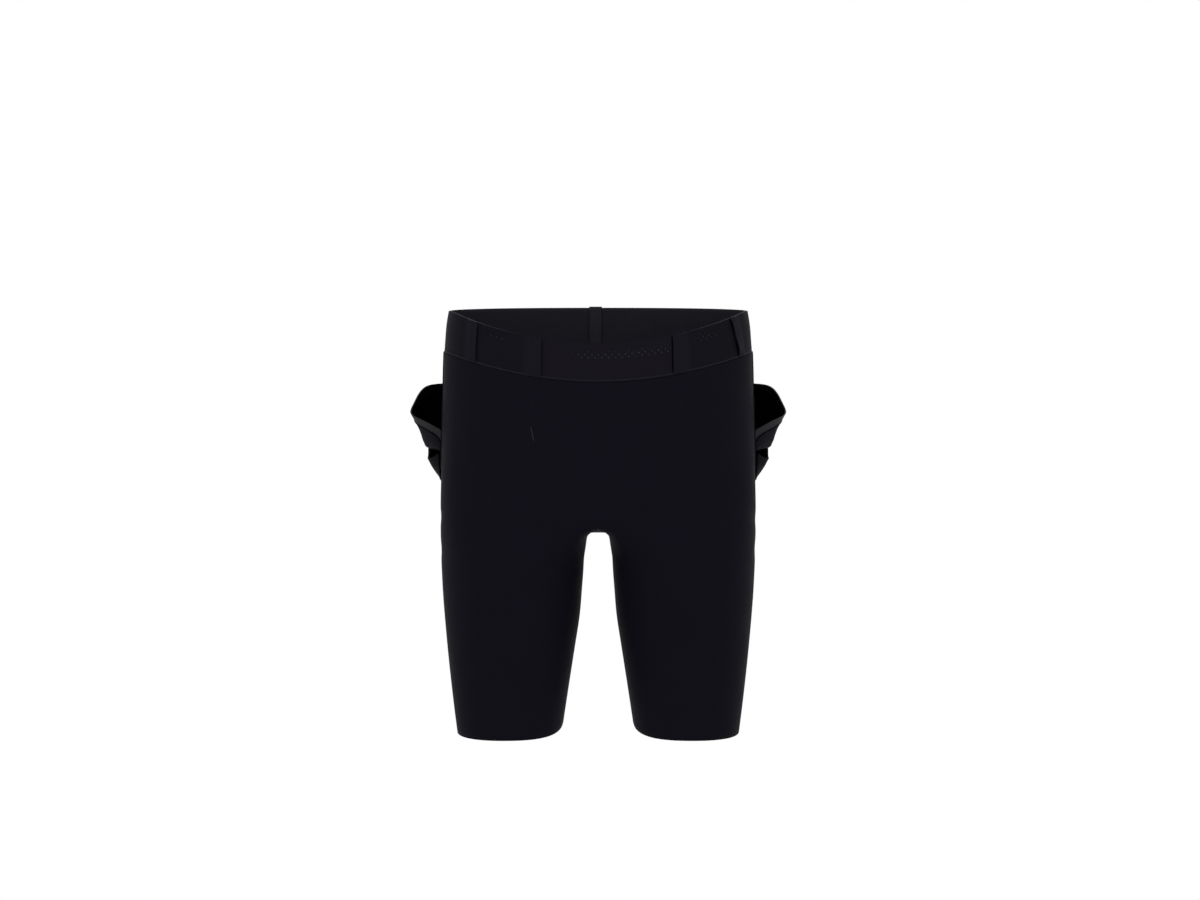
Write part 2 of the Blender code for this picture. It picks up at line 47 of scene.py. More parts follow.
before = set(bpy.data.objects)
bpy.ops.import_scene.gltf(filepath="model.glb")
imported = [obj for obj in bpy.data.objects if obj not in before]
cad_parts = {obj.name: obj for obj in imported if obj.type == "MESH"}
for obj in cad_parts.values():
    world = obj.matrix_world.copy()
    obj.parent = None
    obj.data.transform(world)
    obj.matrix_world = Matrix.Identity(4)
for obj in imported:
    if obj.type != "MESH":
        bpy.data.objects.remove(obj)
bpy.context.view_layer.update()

MM = 0.001
TOUCHING = 0.01 * MM
CUT_EDGE = math.radians(50.0)
CORNER = math.radians(38.0)
HEART = Vector((0.0, 0.0, -0.15))
HOLD_ROUNDS = 3
HOLD_PULL = 0.8
SEAM_REACH = 0.9 * MM
GUSSET_REACH = 2.5 * MM
CORE_WIDTH = 2.8 * MM
CORE_HEIGHT = 0.8 * MM
CORE_DEPTH = 0.75 * MM
CORE_STEP = 5.0 * MM
POCKET_WALL = 1.4 * MM
EDGE_REACH = 2.6 * MM
EDGE_RISE = 5.0 * MM
EDGE_INSET = 1.2 * MM
EDGE_GRIP = 1.7 * MM
BINDING_REACH = 2.6 * MM
JOIN_DEPTH = 0.85 * MM
JOIN_HEIGHT = 1.7 * MM
BORDER_CUTS = 6
THREAD_OVERLAP = 0.6
THREAD_FLATNESS = 0.8
FINE_THREAD = 0.8
TACK_LIFT = 0.35
BAND_WALL = 1.0 * MM
WELT_STEP = 4.0 * MM
WELT_PROUD = 1.35 * MM
WELT_FLATNESS = 0.9
KNIT_CONTRAST = 0.30
STRIP_TONE = 1.35
# Painted shade: the share of the cloth's colour left in the groove beside a lap's edge
PAINTED_GROOVE_SHADE = 0.12
RIB_RELIEF = 0.2 * MM
WARP_PITCH = 0.42
STITCH_SHARE = 0.78
NEEDLE_SHARE = 0.9
LAYER = "layer"
OUTER = 1
INNER = 2
WEAVE = "weave"
SHADE = "shade"
STRIP = "strip"

# The ovals that the knit is laid round, and the heights between which the trunk becomes the legs
TRUNK_OVAL = (0.171, 0.113)
LEG_OVAL = (0.068, 0.083)
LEG_MIDDLE = 0.092
FORK_TOP = -0.165
FORK_LOW = -0.262

# Soft creases to press in, listed by the way that the cloth faces: where each starts and ends, how far
# its middle bows aside, and its half width and depth. A negative depth is a ridge. Millimetres.
CREASES = {
    "front": (
        (-14, -206, -62, -178, 6, 9, 0.9),
        (-16, -219, -78, -205, -7, 8, 0.8),
        (15, -207, 70, -176, 8, 10, 1.0),
        (17, -221, 64, -212, -5, 8, 0.9),
        (20, -226, 96, -262, 9, 12, 0.9),
        (-24, -232, -84, -268, -8, 11, 0.7),
        (-40, -60, -28, -128, 5, 14, -0.5),
        (58, -70, 44, -150, -8, 16, -0.5),
        (-118, -300, -72, -330, 7, 12, 0.6),
        (60, -318, 118, -296, -6, 13, 0.6),
    ),
    "back": (
        (-12, -188, -74, -172, -9, 10, 1.4),
        (12, -190, 82, -168, -10, 11, 1.5),
        (-16, -204, -96, -214, 8, 10, 1.2),
        (18, -206, 90, -222, 9, 10, 1.3),
        (-30, -236, -112, -252, 7, 12, 0.9),
        (26, -240, 104, -262, 8, 12, 0.9),
        (-20, -70, -84, -58, 8, 16, 0.6),
        (24, -74, 78, -60, 7, 15, 0.6),
    ),
    "left": (
        (-60, -190, 20, -208, 6, 12, 0.7),
        (-40, -250, 46, -236, -8, 14, 0.7),
    ),
    "right": (
        (-58, -186, 26, -204, 7, 12, 0.7),
        (-36, -246, 50, -240, -7, 13, 0.7),
    ),
}
CREASE_FIELDS = ("side_1", "height_1", "side_2", "height_2", "bow", "width", "depth")
FACING = {"front": (0, 1, 1), "back": (0, 1, -1), "left": (1, 0, -1), "right": (1, 0, 1)}

# The laps of the waistband: the panel on top, the panel whose tail runs under it, how far the lap's
# edge stands open, and how much it waves
LAPS = (
    ("waistband_side_right", "waistband_front_right", 1.1 * MM, 0.2 * MM),
    ("waistband_front_right", "waistband_centre", 1.1 * MM, 0.15 * MM),
    ("waistband_front_left", "waistband_centre", 0.9 * MM, 0.15 * MM),
    ("waistband_side_left", "waistband_front_left", 2.0 * MM, 0.9 * MM),
)
LAP_REACH = 9.0 * MM
LAP_WAVES = 9.0
LAP_PHASE = 0.6
GROOVE_HALF = 1.4 * MM
GROOVE_DEPTH = 1.0 * MM
TAIL_STEPS = 400
GROOVE_STOPS = (-1.4, -0.9, -0.4, 0.0, 0.4, 0.9, 1.4)

# Perforated fields of the waistband: first and last share along the panel, first and last row, and
# how wide the holes are at the first share and in the first row, as shares of the widest
FIELDS = {
    "waistband_centre": (0.10, 0.955, 2, 5, 0.45, 0.6),
    "waistband_front_left": (0.26, 0.70, 1, 4, 0.7, 0.6),
    "waistband_front_right": (0.18, 0.50, 1, 3, 0.2, 0.3),
}
FIELD_NAMES = ("first", "last", "top_row", "low_row", "first_size", "top_size")

# Each lap lies on a bonded strip that shows as a soft, slightly lighter stripe beside the lap's edge
STRIP_REACH = 17.0 * MM
STRIP_FADE = 5.0 * MM

# Where the bags are filled out beside the tips of their mouths: the stretch from front to back, the
# heights where it starts and where it is full, and how far out
BULGES = {
    "upper_pocket": (8.0, 75.0, -121.0, -131.0, 8.0),
    "lower_pocket": (30.0, 86.0, -158.0, -138.0, 7.0),
    "lower_pocket_binding": (30.0, 86.0, -158.0, -138.0, 7.0),
}

# Details on the front of the body, at their distance from the middle and height
FRONT_LINES = ((-70.4 * MM, -62.0 * MM, -119.0 * MM), (90.4 * MM, -60.0 * MM, -98.0 * MM))
TACK_TOP = (-71.6 * MM, -106.5 * MM)
TACK_LOW = (-68.4 * MM, -120.5 * MM)
TACK_WIDTH = 0.9 * MM
TACK_TURNS = 14
LINE_WIDTH = 1.2 * MM
LINE_HEIGHT = 0.4 * MM
LINE_POINTS = 16
RAY_START = -0.4


def length(name, description, default):
    """A length that the user can change."""
    return FloatProperty(name=name, description=description, default=default, unit="LENGTH")


def tint(name, description, *default):
    """A colour that the user can change."""
    return FloatVectorProperty(name=name, description=description, default=default, subtype="COLOR")


class TightsSizes(bpy.types.PropertyGroup):
    """Sizes of the knit, the stitching and the small forms on the cloth."""

    wale: length("Wale", "Width of one knitted column", 1.15 * MM)
    course: length("Course", "Height of one knitted row", 0.95 * MM)
    smoothing: IntProperty(
        name="Smoothing", description="Times that the cloth is subdivided", default=2, min=1, max=3)
    crease: FloatProperty(
        name="Crease", description="How deep the soft creases are, as a share", default=1.0, min=0.0)
    thread: length("Thread", "Thickness of the sewing thread", 0.5 * MM)
    stitch: length("Stitch", "Length of one stitch", 2.6 * MM)
    seam: length("Seam", "Width of a flat seam", 4.4 * MM)
    welt: length("Welt", "Width of the welt under the waistband", 1.9 * MM)
    hole: length("Hole", "Width of a perforation", 2.3 * MM)
    hole_pitch: length("Hole pitch", "Distance between holes in a row", 7.15 * MM)
    hole_row: length("Hole row", "Distance between rows of holes", 3.2 * MM)


class TightsColours(bpy.types.PropertyGroup):
    """Colours of the cloth, the thread and the floor."""

    jersey: tint("Jersey", "The body's knit", 0.0037, 0.0033, 0.0062)
    band: tint("Waistband", "The waistband's knit", 0.0044, 0.0039, 0.0063)
    # Painted light: the waistband's inner side is its own softer knit, painted lighter to make up for
    # the shade inside the waist
    inside: tint("Waistband inside", "The waistband's softer inner side", 0.0125, 0.0116, 0.0155)
    mesh: tint("Perforated panel", "The waistband's centre", 0.0058, 0.0051, 0.0080)
    backing: tint("Backing", "What shows in the perforations", 0.046, 0.045, 0.050)
    pocket: tint("Pocket", "The pockets' fine mesh", 0.0052, 0.0046, 0.0070)
    lining: tint("Pocket inside", "The pockets' inner side", 0.0006, 0.0006, 0.0007)
    # Painted shade: the pockets' inner side is near black, standing in for the shade inside the bags
    binding: tint("Binding", "Elastic along the upper pocket mouths", 0.0140, 0.0136, 0.0156)
    lower_binding: tint(
        "Lower binding", "Elastic along the lower pocket mouths", 0.0034, 0.0031, 0.0044)
    # Painted shade: the elastic's inner side is near black, standing in for the shade inside the pocket
    # mouth
    binding_inside: tint("Binding inside", "The inner side of the elastic", 0.0008, 0.0008, 0.0010)
    tape: tint("Tape", "Woven tape inside the centre back", 0.0130, 0.0121, 0.0160)
    thread: tint("Thread", "The seams' thread", 0.0060, 0.0054, 0.0084)
    welt: tint("Welt", "The raised line under the waistband", 0.0088, 0.0082, 0.0108)
    tack: tint("Tack", "The light tack on the front", 0.013, 0.0122, 0.0155)
    floor: tint("Floor", "The studio floor", 0.86, 0.86, 0.86)


def sizes():
    return bpy.context.scene.tights_sizes


def colours():
    return bpy.context.scene.tights_colours


class Value:
    """A shader socket in a Python sum: 1 - mask adds the Math node that works it out."""

    def __init__(self, finish, socket):
        self.finish, self.socket = finish, socket

    def math(self, operation, *terms):
        return self.finish.node("ShaderNodeMath", {"operation": operation}, dict(enumerate(terms)))

    def __add__(self, other):
        return self.math("ADD", self, other)

    def __rsub__(self, other):
        return self.math("SUBTRACT", other, self)

    def __mul__(self, other):
        return self.math("MULTIPLY", self, other)

    def __abs__(self):
        return self.math("ABSOLUTE", self)

    def sine(self):
        return self.math("SINE", self)


class Finish:
    """A cloth material, built node by node round its Principled shader."""

    def __init__(self, name, roughness, sheen=0.0, sheen_roughness=0.5, specular=0.1):
        self.material = bpy.data.materials.new(name)
        self.material.use_nodes = True
        self.tree = self.material.node_tree
        self.shader = self.tree.nodes["Principled BSDF"]
        self.roughness = roughness
        self.set("Roughness", roughness)
        self.set("Sheen Weight", sheen)
        self.set("Sheen Roughness", sheen_roughness)
        self.set("Specular IOR Level", specular)

    def set(self, socket, value):
        self.feed(self.shader.inputs[socket], value)

    def feed(self, socket, value):
        if isinstance(value, Value):
            self.tree.links.new(value.socket, socket)
        else:
            socket.default_value = value

    def node(self, kind, settings, inputs, output=0):
        """Any node: its type, its settings, the values or links of its sockets, and the output used."""
        made = self.tree.nodes.new(kind)
        for name, setting in settings.items():
            setattr(made, name, setting)
        for place, value in inputs.items():
            self.feed(made.inputs[place], value)
        return Value(self, made.outputs[output])

    def mix(self, share, low, high):
        """A colour between two colours."""
        ends = {0: share, 6: low, 7: high}
        return self.node("ShaderNodeMix", {"data_type": "RGBA"}, ends, output=2)

    def place(self):
        """How far round and how far up the cloth a point lies."""
        weave = self.node("ShaderNodeUVMap", {"uv_map": WEAVE}, {})
        return [self.node("ShaderNodeSeparateXYZ", {}, {0: weave}, output=axis) for axis in (0, 1)]

    def attribute(self, name):
        """A value from 0 to 1 that the mesh carries."""
        return self.node("ShaderNodeAttribute", {"attribute_name": name}, {}, output="Fac")

    def cloud(self, scale):
        """Soft unevenness from 0 to 1, in the object's own space."""
        space = self.node("ShaderNodeTexCoord", {}, {}, output="Object")
        return self.node("ShaderNodeTexNoise", {}, {"Vector": space, "Scale": scale})

    def tones(self, share, colour, low, high):
        """The colour between a darker and a lighter tone of the cloth's colour."""
        return self.mix(share, tone(colour, low), tone(colour, high))

    def relief(self, uneven, spread, height, strength, distance):
        """Adds uneven gloss and the threads' relief, and hands out the finished material."""
        self.set("Roughness", uneven * spread + (self.roughness - spread / 2.0))
        raised = {"Strength": strength, "Distance": distance, "Height": height}
        self.set("Normal", self.node("ShaderNodeBump", {}, raised))
        return self.material


def tone(colour, share):
    """A colour, brighter or darker by a share."""
    return (*(channel * share for channel in colour), 1.0)


def knit_finish(name, colour, roughness, depth, sheen):
    """A weft knit: columns of small V shapes, with a little unevenness in colour and gloss."""
    finish = Finish(name, roughness, sheen, 0.45, 0.022)
    across, along = finish.place()
    bulge = abs((across * (math.pi / sizes().wale)).sine())
    rows = (along * (math.tau / sizes().course) + bulge * math.pi).sine()
    height = bulge * 0.55 + rows * 0.2 + 0.2
    uneven = finish.cloud(34.0)
    grain = height * 0.75 + uneven * 0.25
    cloth, strip = (
        finish.tones(grain, colour, middle - KNIT_CONTRAST, middle + KNIT_CONTRAST)
        for middle in (1.0, STRIP_TONE))
    cloth = finish.mix(finish.attribute(STRIP), cloth, strip)
    # Painted shade: where the mesh's shade attribute is set, in the groove beside a lap's edge, the
    # colour is darkened
    finish.set("Base Color", finish.mix(finish.attribute(SHADE), cloth, tone(colour, PAINTED_GROOVE_SHADE)))
    return finish.relief(uneven, 0.14, height, 0.5, depth)


def net_finish(name, colour, roughness, pitch, depth, sheen):
    """A fine stretch mesh: small dark eyes in staggered rows."""
    finish = Finish(name, roughness, sheen, 0.4, 0.03)
    across, along = finish.place()
    turn = math.tau / pitch
    height = 1.0 - abs((across * turn).sine() * (along * turn).sine())
    uneven = finish.cloud(40.0)
    finish.set("Base Color", finish.tones(height * 0.8 + uneven * 0.2, colour, 0.45, 1.25))
    return finish.relief(uneven, 0.12, height, 0.6, depth)


def ribbed_finish(name, colour, roughness, pitch, sheen, across_cloth, specular):
    """Woven elastic or tape: even ribs, crossed by finer warp threads."""
    finish = Finish(name, roughness, sheen, 0.35, specular)
    across, along = finish.place()
    ribs, warp = (across, along) if across_cloth else (along, across)
    rib = (ribs * (math.tau / pitch)).sine()
    fine = (warp * (math.tau / (pitch * WARP_PITCH))).sine()
    height = rib * 0.34 + fine * 0.12 + 0.5
    uneven = finish.cloud(60.0)
    finish.set("Base Color", finish.tones(height * 0.8 + uneven * 0.2, colour, 0.6, 1.35))
    return finish.relief(uneven, 0.14, height, 0.55, RIB_RELIEF)


def plain_finish(name, colour, roughness, specular=0.1, contrast=0.2):
    """Thread, backing or floor: one colour with a little unevenness."""
    finish = Finish(name, roughness, specular=specular)
    finish.set("Base Color", finish.tones(finish.cloud(90.0), colour, 1.0 - contrast, 1.0 + contrast))
    return finish.material


# Each finish: its maker, its colour and its roughness. A knit adds the depth of its relief and its
# sheen, a net its pitch, depth and sheen, and ribs their pitch, sheen, whether they run across the
# cloth, and how much they shine. A plain finish may add its shine.
FINISHES = {
    "jersey": (knit_finish, "jersey", 0.66, 0.16 * MM, 0.004),
    "waistband": (knit_finish, "band", 0.6, 0.14 * MM, 0.005),
    # Painted light: the inner side's knit is lightened to offset the shade inside the waist
    "waist_inside": (knit_finish, "inside", 0.8, 0.2 * MM, 0.02),
    "waistband_mesh": (knit_finish, "mesh", 0.66, 0.2 * MM, 0.006),
    "welt": (knit_finish, "welt", 0.6, 0.1 * MM, 0.02),
    "pocket": (net_finish, "pocket", 0.62, 3.0 * MM, 0.22 * MM, 0.005),
    "binding": (ribbed_finish, "binding", 0.5, 1.5 * MM, 0.015, True, 0.08),
    "lower_binding": (ribbed_finish, "lower_binding", 0.6, 1.5 * MM, 0.0, True, 0.03),
    # Painted shade: near black for the elastic's shaded inner side
    "binding_inside": (ribbed_finish, "binding_inside", 0.8, 1.5 * MM, 0.0, True, 0.01),
    "tape": (ribbed_finish, "tape", 0.6, 1.3 * MM, 0.02, False, 0.08),
    "backing": (plain_finish, "backing", 0.8),
    # Painted shade: near black for the shaded inside of the bags
    "lining": (plain_finish, "lining", 0.95, 0.0),
    "thread": (plain_finish, "thread", 0.5),
    "tack": (plain_finish, "tack", 0.5, 0.2),
}


def finish_for(name):
    """The material of that name, made the first time that it is asked for."""
    maker, colour, *settings = FINISHES[name]
    label = "cloth_" + name
    return bpy.data.materials.get(label) or maker(label, getattr(colours(), colour), *settings)


def new_piece(name, mesh):
    """An object at the origin that takes over a bmesh."""
    data = bpy.data.meshes.new(name)
    mesh.to_mesh(data)
    mesh.free()
    piece = bpy.data.objects.new(name, data)
    bpy.context.scene.collection.objects.link(piece)
    return piece


def evaluated(piece):
    """A piece as its modifiers leave it."""
    bpy.context.view_layer.update()
    return piece.evaluated_get(bpy.context.evaluated_depsgraph_get())


def settle(piece):
    """Applies a piece's modifiers to its mesh."""
    mesh = bpy.data.meshes.new_from_object(evaluated(piece))
    old = piece.data
    piece.modifiers.clear()
    piece.data = mesh
    bpy.data.meshes.remove(old)
    mesh.name = piece.name
    return piece


def smooth_cloth(node, name, levels):
    """A CAD node's wall as smooth cloth: triangles joined to quads, and cut edges kept crisp."""
    mesh = bmesh.new()
    mesh.from_mesh(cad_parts[node].data)
    bmesh.ops.remove_doubles(mesh, verts=mesh.verts, dist=TOUCHING)
    bmesh.ops.join_triangles(
        mesh, faces=mesh.faces, angle_face_threshold=CUT_EDGE, angle_shape_threshold=math.pi)
    mark_layers(mesh)
    crease = mesh.edges.layers.float.new("crease_edge")
    for edge in mesh.edges:
        edge[crease] = float(edge.calc_face_angle(0.0) > CUT_EDGE)
    piece = new_piece(name, mesh)
    smooth = piece.modifiers.new("Smooth", "SUBSURF")
    smooth.levels = smooth.render_levels = levels
    hold_shape(piece)
    return settle(piece)


def hold_shape(piece):
    """Moves the points out by what smoothing takes off, so that the cloth passes through the CAD's."""
    wanted = vertex_places(piece.data)
    cage = wanted.copy()
    for _ in range(HOLD_ROUNDS):
        shown = vertex_places(evaluated(piece).data)
        cage += (wanted - shown[:len(cage)]) * HOLD_PULL
        move_points(piece, cage)


def mark_layers(mesh):
    """Marks which faces of a wall are its outward layer and its inward one; its cut edges stay 0."""
    mark = mesh.faces.layers.int.new(LAYER)
    mesh.normal_update()
    mesh.faces.index_update()
    waiting, layers = set(mesh.faces), []
    while waiting:
        reached = [min(waiting, key=lambda face: face.index)]
        waiting.discard(reached[0])
        layer = []
        while reached:
            face = reached.pop()
            layer.append(face)
            for edge in face.edges:
                for other in edge.link_faces:
                    if other in waiting and edge.calc_face_angle(math.pi) < CUT_EDGE:
                        waiting.discard(other)
                        reached.append(other)
        layers.append(layer)
    for layer, value in ((max(layers, key=faces_out), OUTER), (min(layers, key=faces_out), INNER)):
        for face in layer:
            face[mark] = value


def skin_of(piece, layer=OUTER):
    """The outward layer of a piece of cloth, or the inward one, as a bmesh of its own."""
    skin = bmesh.new()
    skin.from_mesh(piece.data)
    skin.normal_update()
    mark = skin.faces.layers.int[LAYER]
    bmesh.ops.delete(skin, geom=[face for face in skin.faces if face[mark] != layer], context="FACES")
    return skin


def paint_layer(piece, finish, layer):
    """Gives one layer of a piece a finish of its own."""
    piece.data.materials.append(finish_for(finish))
    marks = piece.data.attributes[LAYER].data
    for face, mark in zip(piece.data.polygons, marks):
        face.material_index = int(mark.value == layer)


def faces_out(layer):
    """How much cloth of a layer faces away from the middle of the garment."""
    return sum(face.normal.dot(face.calc_center_median() - HEART) * face.calc_area() for face in layer)


def border_lines(skin):
    """The closed lines round a skin, each a list of its places: a point and the way out of the cloth."""
    onward = {}
    for edge in skin.edges:
        if edge.is_boundary:
            corner = edge.link_loops[0]
            onward[corner.vert] = corner.link_loop_next.vert
    lines = []
    while onward:
        vert = next(iter(onward))
        line = []
        while vert in onward:
            line.append((vert.co.copy(), vert.normal.copy()))
            vert = onward.pop(vert)
        lines.append(line)
    return lines


def borders_of(name, layer=OUTER, settled=False):
    """The border lines of a piece's layer. Settled ones have the layer's own ways out of the cloth."""
    skin = skin_of(bpy.data.objects[name], layer)
    if settled:
        skin.normal_update()
    lines = border_lines(skin)
    skin.free()
    return lines


def split_at_corners(line):
    """The sides of a closed line, each from corner to corner."""
    runs = [after[0] - spot[0] for spot, after in zip(line, line[1:] + line[:1])]
    corners = [k for k in range(len(line)) if runs[k - 1].angle(runs[k], 0.0) > CORNER]
    ends = corners[1:] + [corners[0] + len(line)]
    return [(line + line)[first:last + 1] for first, last in zip(corners, ends)]


def meeting_lines(first, second, reach):
    """The lines along which the borders of two pieces run side by side."""
    points = []
    for line in borders_of(second):
        for (spot, _), (after, _) in zip(line, line[1:] + line[:1]):
            points += [spot.lerp(after, k / BORDER_CUTS) for k in range(BORDER_CUTS)]
    tree = KDTree(len(points))
    for k, point in enumerate(points):
        tree.insert(point, k)
    tree.balance()
    runs = []
    for line in borders_of(first):
        near = [tree.find(point)[2] < reach for point, _ in line]
        if all(near):
            runs.append(line)
            continue
        start = near.index(False)
        run = []
        for k in range(start, start + len(line) + 1):
            if near[k % len(line)]:
                run.append(line[k % len(line)])
            elif run:
                runs.append(run)
                run = []
    return [run for run in runs if len(run) > 3]


def lengths_along(points):
    """How far along a line each of its points lies."""
    return np.concatenate(([0.0], np.cumsum(np.linalg.norm(np.diff(points, axis=0), axis=1))))


def paced(line, step, closed=False, trim=0.0):
    """Evenly spaced places on a line: the point, the way out of the cloth and the way along."""
    places = line + line[:1] if closed else line
    points, outs = (np.array([place[part] for place in places]) for part in (0, 1))
    lengths = lengths_along(points)
    count = max(int(round((lengths[-1] - 2.0 * trim) / step)), 1)
    at = np.linspace(trim, lengths[-1] - trim, count + 1)
    if closed:
        at = at[:-1]
    spots, ways = (
        np.stack([np.interp(at, lengths, values[:, axis]) for axis in range(3)], axis=1)
        for values in (points, outs))
    ends = (spots[-1:], spots[:1]) if closed else (spots[:1], spots[-1:])
    around = np.concatenate((ends[0], spots, ends[1]))
    made = []
    for spot, way, run in zip(spots, ways, around[2:] - around[:-2]):
        along = Vector(run).normalized()
        out = Vector(way)
        out = (out - along * out.dot(along)).normalized()
        made.append((Vector(spot), out, along))
    return made


def spindle():
    """The unit spindle of thread that every stitch is a copy of."""
    made = bpy.data.meshes.get("spindle")
    if not made:
        mesh = bmesh.new()
        bmesh.ops.create_uvsphere(mesh, u_segments=6, v_segments=4, radius=0.5)
        made = bpy.data.meshes.new("spindle")
        mesh.to_mesh(made)
        mesh.free()
    return made


def laid(across, up, along, spot):
    """The matrix that lays a unit shape along three directions, at a spot."""
    matrix = Matrix.Identity(4)
    for column, value in enumerate((across, up, along, spot)):
        matrix.col[column][:3] = value
    return matrix


def lay_thread(mesh, start, end, out, thickness):
    """One stitch: a slim spindle of thread from start to end, half sunk in the cloth."""
    along = end - start
    reach = along.length + thickness * THREAD_OVERLAP
    along.normalize()
    across = along.cross(out).normalized()
    up = along.cross(across) * thickness * THREAD_FLATNESS
    stitch = spindle().copy()
    stitch.transform(laid(across * thickness, up, along * reach, (start + end) / 2.0))
    mesh.from_mesh(stitch)
    bpy.data.meshes.remove(stitch)


def run_stitches(mesh, places, offset=0.0, share=STITCH_SHARE):
    """A row of straight stitches along a line, moved aside by an offset."""
    thread = sizes().thread
    spots = [spot + along.cross(out) * offset for spot, out, along in places]
    for k in range(len(places) - 1):
        out = places[k][1]
        start, end = spots[k], spots[k + 1]
        gap = (end - start) * (1.0 - share) / 2.0
        lay_thread(mesh, start + gap, end - gap, out, thread)


def lay_core(mesh, line, depth=CORE_DEPTH, inwards=0.0, height=CORE_HEIGHT):
    """The hidden core of a seam: it joins the walls, at a depth under the cloth's outward layer."""
    core = []
    for spot, out, along in paced(line, CORE_STEP):
        core.append((spot - out * depth + out.cross(along) * inwards, out, along))
    sweep_welt(mesh, core, CORE_WIDTH, height)


def flat_seam(mesh, line):
    """A flat seam: a core that joins the walls, two rows of needle thread, and cover thread."""
    size = sizes()
    half = size.seam / 2.0
    lay_core(mesh, line)
    places = paced(line, size.stitch)
    thread = size.thread * FINE_THREAD
    run_stitches(mesh, places, half, NEEDLE_SHARE)
    run_stitches(mesh, places, -half, NEEDLE_SHARE)
    for (spot, out, along), (after, _, _) in zip(places, places[1:]):
        across = along.cross(out) * half
        middle = (spot + after) / 2.0
        lay_thread(mesh, spot + across, middle - across, out, thread)
        lay_thread(mesh, middle - across, after + across, out, thread)


def bar_tack(mesh, start, end, out, width, turns):
    """A dense zigzag of thread from start to end, over two long strands."""
    thread = sizes().thread * FINE_THREAD
    along = (end - start).normalized()
    across = along.cross(out) * (width / 2.0)
    lay_thread(mesh, start + across * 0.5, end + across * 0.5, out, thread)
    lay_thread(mesh, start - across * 0.5, end - across * 0.5, out, thread)
    start, end = start + out * (thread * TACK_LIFT), end + out * (thread * TACK_LIFT)
    bends = [start.lerp(end, k / turns / 2.0) + across * (-1) ** k for k in range(2 * turns + 1)]
    for here, there in zip(bends, bends[1:]):
        lay_thread(mesh, here, there, out, thread)


def ring_edges(verts):
    kept = set(verts)
    return [edge for edge in {e for v in verts for e in v.link_edges} if kept.issuperset(edge.verts)]


def sweep_welt(mesh, places, width, height, closed=False):
    """A rounded welt along a line of places, half sunk in the cloth."""
    start = len(mesh.verts)
    sections = [
        laid(along.cross(out) * width, out * height, along, spot) for spot, out, along in places]
    ring = bmesh.ops.create_circle(mesh, segments=8, radius=0.5, matrix=sections[0])["verts"]
    first = edges = ring_edges(ring)
    for last, following in zip(sections, sections[1:]):
        grown = bmesh.ops.extrude_edge_only(mesh, edges=edges)["geom"]
        ring = [part for part in grown if isinstance(part, bmesh.types.BMVert)]
        bmesh.ops.transform(mesh, matrix=following @ last.inverted(), verts=ring)
        edges = ring_edges(ring)
    if closed:
        bmesh.ops.bridge_loops(mesh, edges=first + edges)
    else:
        bmesh.ops.holes_fill(mesh, edges=first + edges, sides=0)
    mesh.verts.ensure_lookup_table()
    swept = {face for vert in mesh.verts[start:] for face in vert.link_faces}
    bmesh.ops.recalc_face_normals(mesh, faces=list(swept))


def vertex_places(mesh):
    points = np.empty(len(mesh.vertices) * 3)
    mesh.vertices.foreach_get("co", points)
    return points.reshape(-1, 3)


def move_points(piece, points):
    piece.data.vertices.foreach_set("co", points.ravel())
    piece.data.update()


def press_creases(piece):
    """Presses the soft creases into both faces of a cloth wall alike."""
    points = vertex_places(piece.data)
    normals = np.empty(points.shape, np.float32)
    piece.data.vertex_normals.foreach_get("vector", normals.ravel())
    moved = points.copy()
    for faces, row in ((faces, row) for faces, rows in CREASES.items() for row in rows):
        crease = dict(zip(CREASE_FIELDS, row))
        side, through, inward = FACING[faces]
        start = np.array((crease["side_1"], crease["height_1"])) * MM
        run = np.array((crease["side_2"], crease["height_2"])) * MM - start
        length = np.linalg.norm(run)
        offsets = points[:, (side, 2)] - start
        middle = np.sin(math.pi * np.clip(offsets @ run / length**2, 0.0, 1.0))
        away = (offsets[:, 0] * run[1] - offsets[:, 1] * run[0]) / length
        away -= crease["bow"] * MM * middle
        bell = np.clip(1.0 - (away / (crease["width"] * MM)) ** 2, 0.0, None) ** 2
        depth = crease["depth"] * MM * sizes().crease * bell * middle**0.7
        facing = np.clip(np.abs(normals[:, through]) * 1.4 - 0.3, 0.0, 1.0)
        there = points[:, through] * inward < 0.0
        moved[:, through] += np.where(there, inward * depth * facing, 0.0)
    move_points(piece, moved)


def eased(share):
    """A share held between 0 and 1, with soft ends."""
    share = np.clip(share, 0.0, 1.0)
    return share * share * (3.0 - 2.0 * share)


def fill_out(piece, front, back, start, full, reach):
    """Moves both faces of a bag's wall sideways, away from the hip, in one soft bulge."""
    points = vertex_places(piece.data)
    along = np.clip((points[:, 1] / MM - front) / (back - front), 0.0, 1.0)
    rise = eased((points[:, 2] / MM - start) / (full - start))
    points[:, 0] += np.sign(points[:, 0]) * reach * MM * np.sin(math.pi * along) ** 2 * rise
    move_points(piece, points)


def arc_length(oval, x, y):
    """How far round an oval a point beside it lies, from the oval's side."""
    wide, deep = oval
    turns = np.linspace(0.0, math.pi, 361)
    rim = np.stack((wide * np.cos(turns), deep * np.sin(turns)), axis=1)
    return np.interp(np.arctan2(y / deep, x / wide), turns, lengths_along(rim))


